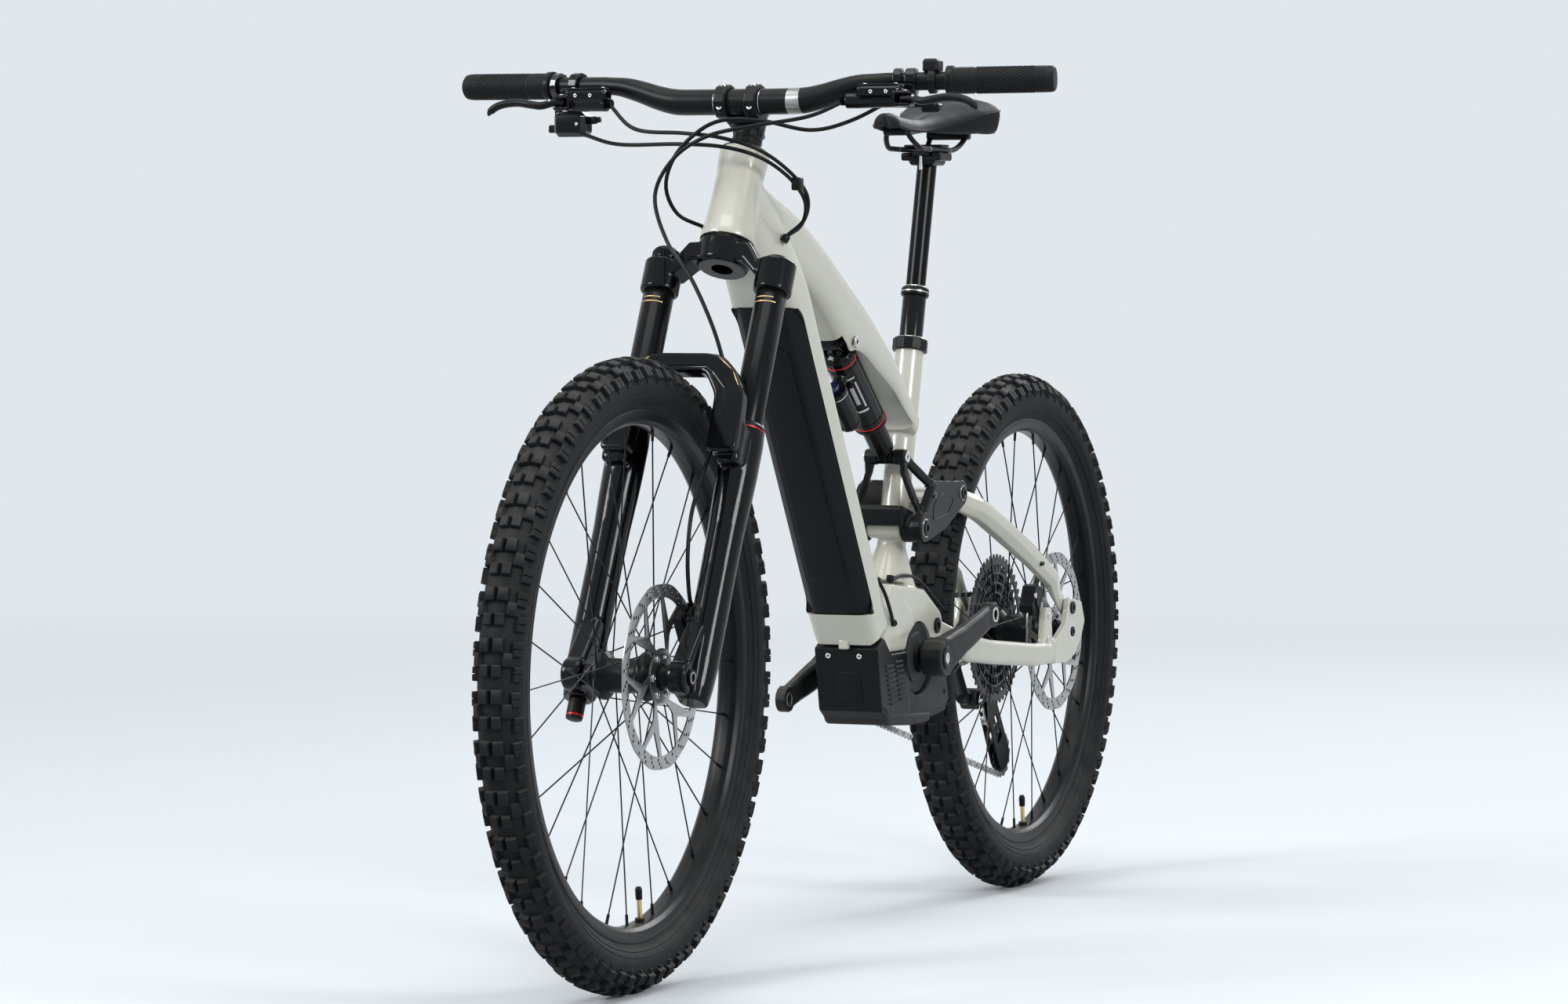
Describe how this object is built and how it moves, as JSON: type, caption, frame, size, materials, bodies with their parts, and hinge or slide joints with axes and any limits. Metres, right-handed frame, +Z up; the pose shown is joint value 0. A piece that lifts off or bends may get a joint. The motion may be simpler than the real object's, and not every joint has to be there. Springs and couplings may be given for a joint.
{
  "type": "electric mountain bike",
  "caption": "Full-suspension electric mountain bike: battery in the down tube, motor at the cranks, disc brakes and a height-adjustable saddle.",
  "frame": {"origin": "middle of the bottom of the bounding box, on the ground between the two wheels", "axes": "+Z up, -Y the way the bike travels, +X the bike's left side; both wheels lie in the plane x = 0"},
  "size_m": [0.7934, 2.017, 1.1049],
  "materials": {
    "battery_cover": "textured black",
    "battery_pack": "textured black",
    "brake_lever_left": "black, satin",
    "brake_lever_right": "black, satin",
    "brake_master_left": "black, satin",
    "brake_master_right": "black, satin",
    "cassette": "bright steel",
    "chain": "bright steel",
    "chainring": "black, satin",
    "crank_left": "black, satin",
    "crank_right": "black, satin",
    "damper_knob": "dark blue, glossy",
    "derailleur_body": "black, satin",
    "derailleur_cage": "black, satin",
    "drive_unit": "textured black",
    "dropper_hose": "black, matte",
    "dropper_lever": "black, satin",
    "dropper_outer": "black, satin",
    "fork_lowers": "black, satin",
    "fork_upper": "black, satin",
    "front_axle": "dark steel",
    "front_brake_hose": "black, matte",
    "front_caliper": "black, satin",
    "front_hub": "black, satin",
    "front_rim": "black, satin",
    "front_rotor": "bright steel",
    "front_tyre": "black, matte, knobbed",
    "grip_left": "black, matte",
    "grip_right": "black, matte",
    "guide_pulley": "black",
    "handlebar": "black, satin",
    "main_frame": "light warm grey-green paint, satin",
    "main_pivot_axle": "dark steel",
    "motor_cover": "textured black",
    "rear_axle": "dark steel",
    "rear_caliper": "black, satin",
    "rear_hose_pair": "black, matte",
    "rear_hub": "black, satin",
    "rear_rim": "black, satin",
    "rear_rotor": "bright steel",
    "rear_tyre": "black, matte, knobbed",
    "rebound_knob": "red and black",
    "remote_button": "black",
    "remote_unit": "black",
    "rocker_axle": "dark steel",
    "rocker_link": "black, satin",
    "saddle_pad": "black, matte",
    "saddle_rails": "black, satin",
    "seat_clamp": "black, satin",
    "seatpost": "black, satin",
    "seatstays": "light warm grey-green paint, satin",
    "shift_paddle": "black",
    "shifter_pod": "dark blue, glossy",
    "shock_body": "black, satin",
    "shock_shaft": "black, satin",
    "skid_plate": "scuffed dark grey",
    "stem": "black, satin",
    "swingarm": "light warm grey-green paint, satin",
    "swingarm_hose": "black, matte",
    "tension_pulley": "black"
  },
  "bodies": {
    "frame": {"main_frame": "main_frame", "battery_pack": "battery_pack", "battery_cover": "battery_cover", "drive_unit": "drive_unit", "motor_cover": "motor_cover", "skid_plate": "skid_plate", "main_pivot_axle": "main_pivot_axle", "rocker_axle": "rocker_axle", "seat_clamp": "seat_clamp", "dropper_outer": "dropper_outer", "chain": "chain", "rear_hose_pair": "rear_hose_pair", "dropper_hose": "dropper_hose", "swingarm_hose": "swingarm_hose"},
    "steering_assembly": {"fork_upper": "fork_upper", "stem": "stem", "handlebar": "handlebar", "grip_left": "grip_left", "grip_right": "grip_right", "brake_master_left": "brake_master_left", "brake_master_right": "brake_master_right", "shifter_pod": "shifter_pod", "remote_unit": "remote_unit", "front_brake_hose": "front_brake_hose"},
    "fork_lowers": {"fork_lowers": "fork_lowers", "front_axle": "front_axle", "front_caliper": "front_caliper"},
    "front_wheel": {"front_tyre": "front_tyre", "front_rim": "front_rim", "front_hub": "front_hub", "front_rotor": "front_rotor"},
    "swingarm": {"swingarm": "swingarm", "rear_axle": "rear_axle", "rear_caliper": "rear_caliper", "derailleur_body": "derailleur_body"},
    "seatstays": {"seatstays": "seatstays"},
    "rocker_link": {"rocker_link": "rocker_link"},
    "shock_body": {"shock_body": "shock_body"},
    "shock_shaft": {"shock_shaft": "shock_shaft"},
    "rear_wheel": {"rear_tyre": "rear_tyre", "rear_rim": "rear_rim", "rear_hub": "rear_hub", "rear_rotor": "rear_rotor"},
    "cassette": {"cassette": "cassette"},
    "cranks": {"crank_left": "crank_left", "crank_right": "crank_right", "chainring": "chainring"},
    "derailleur_cage": {"derailleur_cage": "derailleur_cage"},
    "guide_pulley": {"guide_pulley": "guide_pulley"},
    "tension_pulley": {"tension_pulley": "tension_pulley"},
    "brake_lever_left": {"brake_lever_left": "brake_lever_left"},
    "brake_lever_right": {"brake_lever_right": "brake_lever_right"},
    "shift_paddle": {"shift_paddle": "shift_paddle"},
    "dropper_lever": {"dropper_lever": "dropper_lever"},
    "remote_button": {"remote_button": "remote_button"},
    "damper_knob": {"damper_knob": "damper_knob"},
    "rebound_knob": {"rebound_knob": "rebound_knob"},
    "seatpost_and_saddle": {"seatpost": "seatpost", "saddle_rails": "saddle_rails", "saddle_pad": "saddle_pad"}
  },
  "joints": [
    {"name": "steering", "type": "hinge", "parent": "frame", "child": "steering_assembly", "pos_m": [0, -0.60125, 0.35778], "axis": [0, 0.4384, 0.8988], "range_deg": [-62, 62], "deforming": ["rear_hose_pair", "dropper_hose"]},
    {"name": "fork_travel", "type": "slide", "parent": "steering_assembly", "child": "fork_lowers", "axis": [0, 0.4384, 0.8988], "range_m": [0, 0.16], "stiffness_N_per_m": 6000, "springref_m": -0.02, "deforming": ["front_brake_hose"]},
    {"name": "front_wheel_spin", "type": "hinge", "parent": "fork_lowers", "child": "front_wheel", "pos_m": [0, -0.6345, 0.374], "axis": [1, 0, 0], "continuous": true},
    {"name": "rear_suspension", "type": "hinge", "parent": "frame", "child": "swingarm", "pos_m": [0, 0.25, 0.385], "axis": [1, 0, 0], "range_deg": [0, 21], "stiffness_Nm_per_rad": 900, "springref_deg": -2.86, "deforming": ["chain", "swingarm_hose"]},
    {"name": "seatstay_pivot", "type": "hinge", "parent": "swingarm", "child": "seatstays", "pos_m": [0, 0.652, 0.388], "axis": [1, 0, 0], "range_deg": [-10.1, 0]},
    {"name": "rocker_pivot", "type": "hinge", "parent": "frame", "child": "rocker_link", "pos_m": [0, 0.175, 0.516], "axis": [1, 0, 0], "range_deg": [0, 36.8]},
    {"name": "shock_swing", "type": "hinge", "parent": "frame", "child": "shock_body", "pos_m": [0, -0.011, 0.7595], "axis": [1, 0, 0], "range_deg": [-12.8, 0]},
    {"name": "shock_travel", "type": "slide", "parent": "shock_body", "child": "shock_shaft", "axis": [0, 0.7737, -0.6336], "range_m": [-0.029, 0]},
    {"name": "rear_wheel_spin", "type": "hinge", "parent": "swingarm", "child": "rear_wheel", "pos_m": [0, 0.6535, 0.355], "axis": [1, 0, 0], "continuous": true},
    {"name": "cassette_spin", "type": "hinge", "parent": "swingarm", "child": "cassette", "pos_m": [0, 0.6535, 0.355], "axis": [1, 0, 0], "continuous": true},
    {"name": "crank_spin", "type": "hinge", "parent": "frame", "child": "cranks", "pos_m": [0, 0.185, 0.347], "axis": [1, 0, 0], "continuous": true},
    {"name": "cage_pivot", "type": "hinge", "parent": "swingarm", "child": "derailleur_cage", "pos_m": [-0.06, 0.6735, 0.256], "axis": [1, 0, 0], "range_deg": [-35, 0], "stiffness_Nm_per_rad": 1.5, "springref_deg": 20.05},
    {"name": "guide_pulley_spin", "type": "hinge", "parent": "derailleur_cage", "child": "guide_pulley", "pos_m": [-0.0525, 0.6835, 0.247], "axis": [1, 0, 0], "continuous": true},
    {"name": "tension_pulley_spin", "type": "hinge", "parent": "derailleur_cage", "child": "tension_pulley", "pos_m": [-0.0525, 0.7315, 0.175], "axis": [1, 0, 0], "continuous": true},
    {"name": "brake_lever_left_pull", "type": "hinge", "parent": "steering_assembly", "child": "brake_lever_left", "pos_m": [0.228, -0.33307, 1.05573], "axis": [0, 0, 1], "range_deg": [0, 22], "stiffness_Nm_per_rad": 0.6, "springref_deg": -8.59},
    {"name": "brake_lever_right_pull", "type": "hinge", "parent": "steering_assembly", "child": "brake_lever_right", "pos_m": [-0.228, -0.33307, 1.05573], "axis": [0, 0, -1], "range_deg": [0, 22], "stiffness_Nm_per_rad": 0.6, "springref_deg": -8.59},
    {"name": "shift_paddle_push", "type": "hinge", "parent": "steering_assembly", "child": "shift_paddle", "pos_m": [-0.245, -0.26067, 1.02504], "axis": [0, 1, 0], "range_deg": [0, 18], "stiffness_Nm_per_rad": 0.5, "springref_deg": -5.73},
    {"name": "dropper_lever_push", "type": "hinge", "parent": "steering_assembly", "child": "dropper_lever", "pos_m": [0.203, -0.28833, 1.05115], "axis": [0, 0, 1], "range_deg": [0, 25], "stiffness_Nm_per_rad": 0.5, "springref_deg": -5.73},
    {"name": "remote_button_press", "type": "slide", "parent": "steering_assembly", "child": "remote_button", "axis": [0, -1, 0], "range_m": [0, 0.0015], "stiffness_N_per_m": 500, "springref_m": -0.001},
    {"name": "damper_knob_turn", "type": "hinge", "parent": "steering_assembly", "child": "damper_knob", "pos_m": [-0.0745, -0.36365, 0.85861], "axis": [0, 0.4384, 0.8988], "range_deg": [0, 270]},
    {"name": "rebound_knob_turn", "type": "hinge", "parent": "fork_lowers", "child": "rebound_knob", "pos_m": [-0.0745, -0.61554, 0.34216], "axis": [0, 0.4384, 0.8988], "range_deg": [0, 300]},
    {"name": "dropper_post", "type": "slide", "parent": "frame", "child": "seatpost_and_saddle", "axis": [0, -0.2436, -0.9699], "range_m": [0, 0.15], "stiffness_N_per_m": 400, "springref_m": -0.4}
  ],
  "couplings": [
    {"joint": "seatstay_pivot", "follows": "rear_suspension", "ratio": -0.4767},
    {"joint": "rocker_pivot", "follows": "rear_suspension", "ratio": 1.7449},
    {"joint": "shock_swing", "follows": "rear_suspension", "ratio": -0.6016},
    {"joint": "shock_travel", "follows": "rear_suspension", "m_per_rad": -0.0781},
    {"joint": "cassette_spin", "follows": "crank_spin", "ratio": 1.5},
    {"joint": "guide_pulley_spin", "follows": "crank_spin", "ratio": -3},
    {"joint": "tension_pulley_spin", "follows": "crank_spin", "ratio": 2.5714}
  ]
}
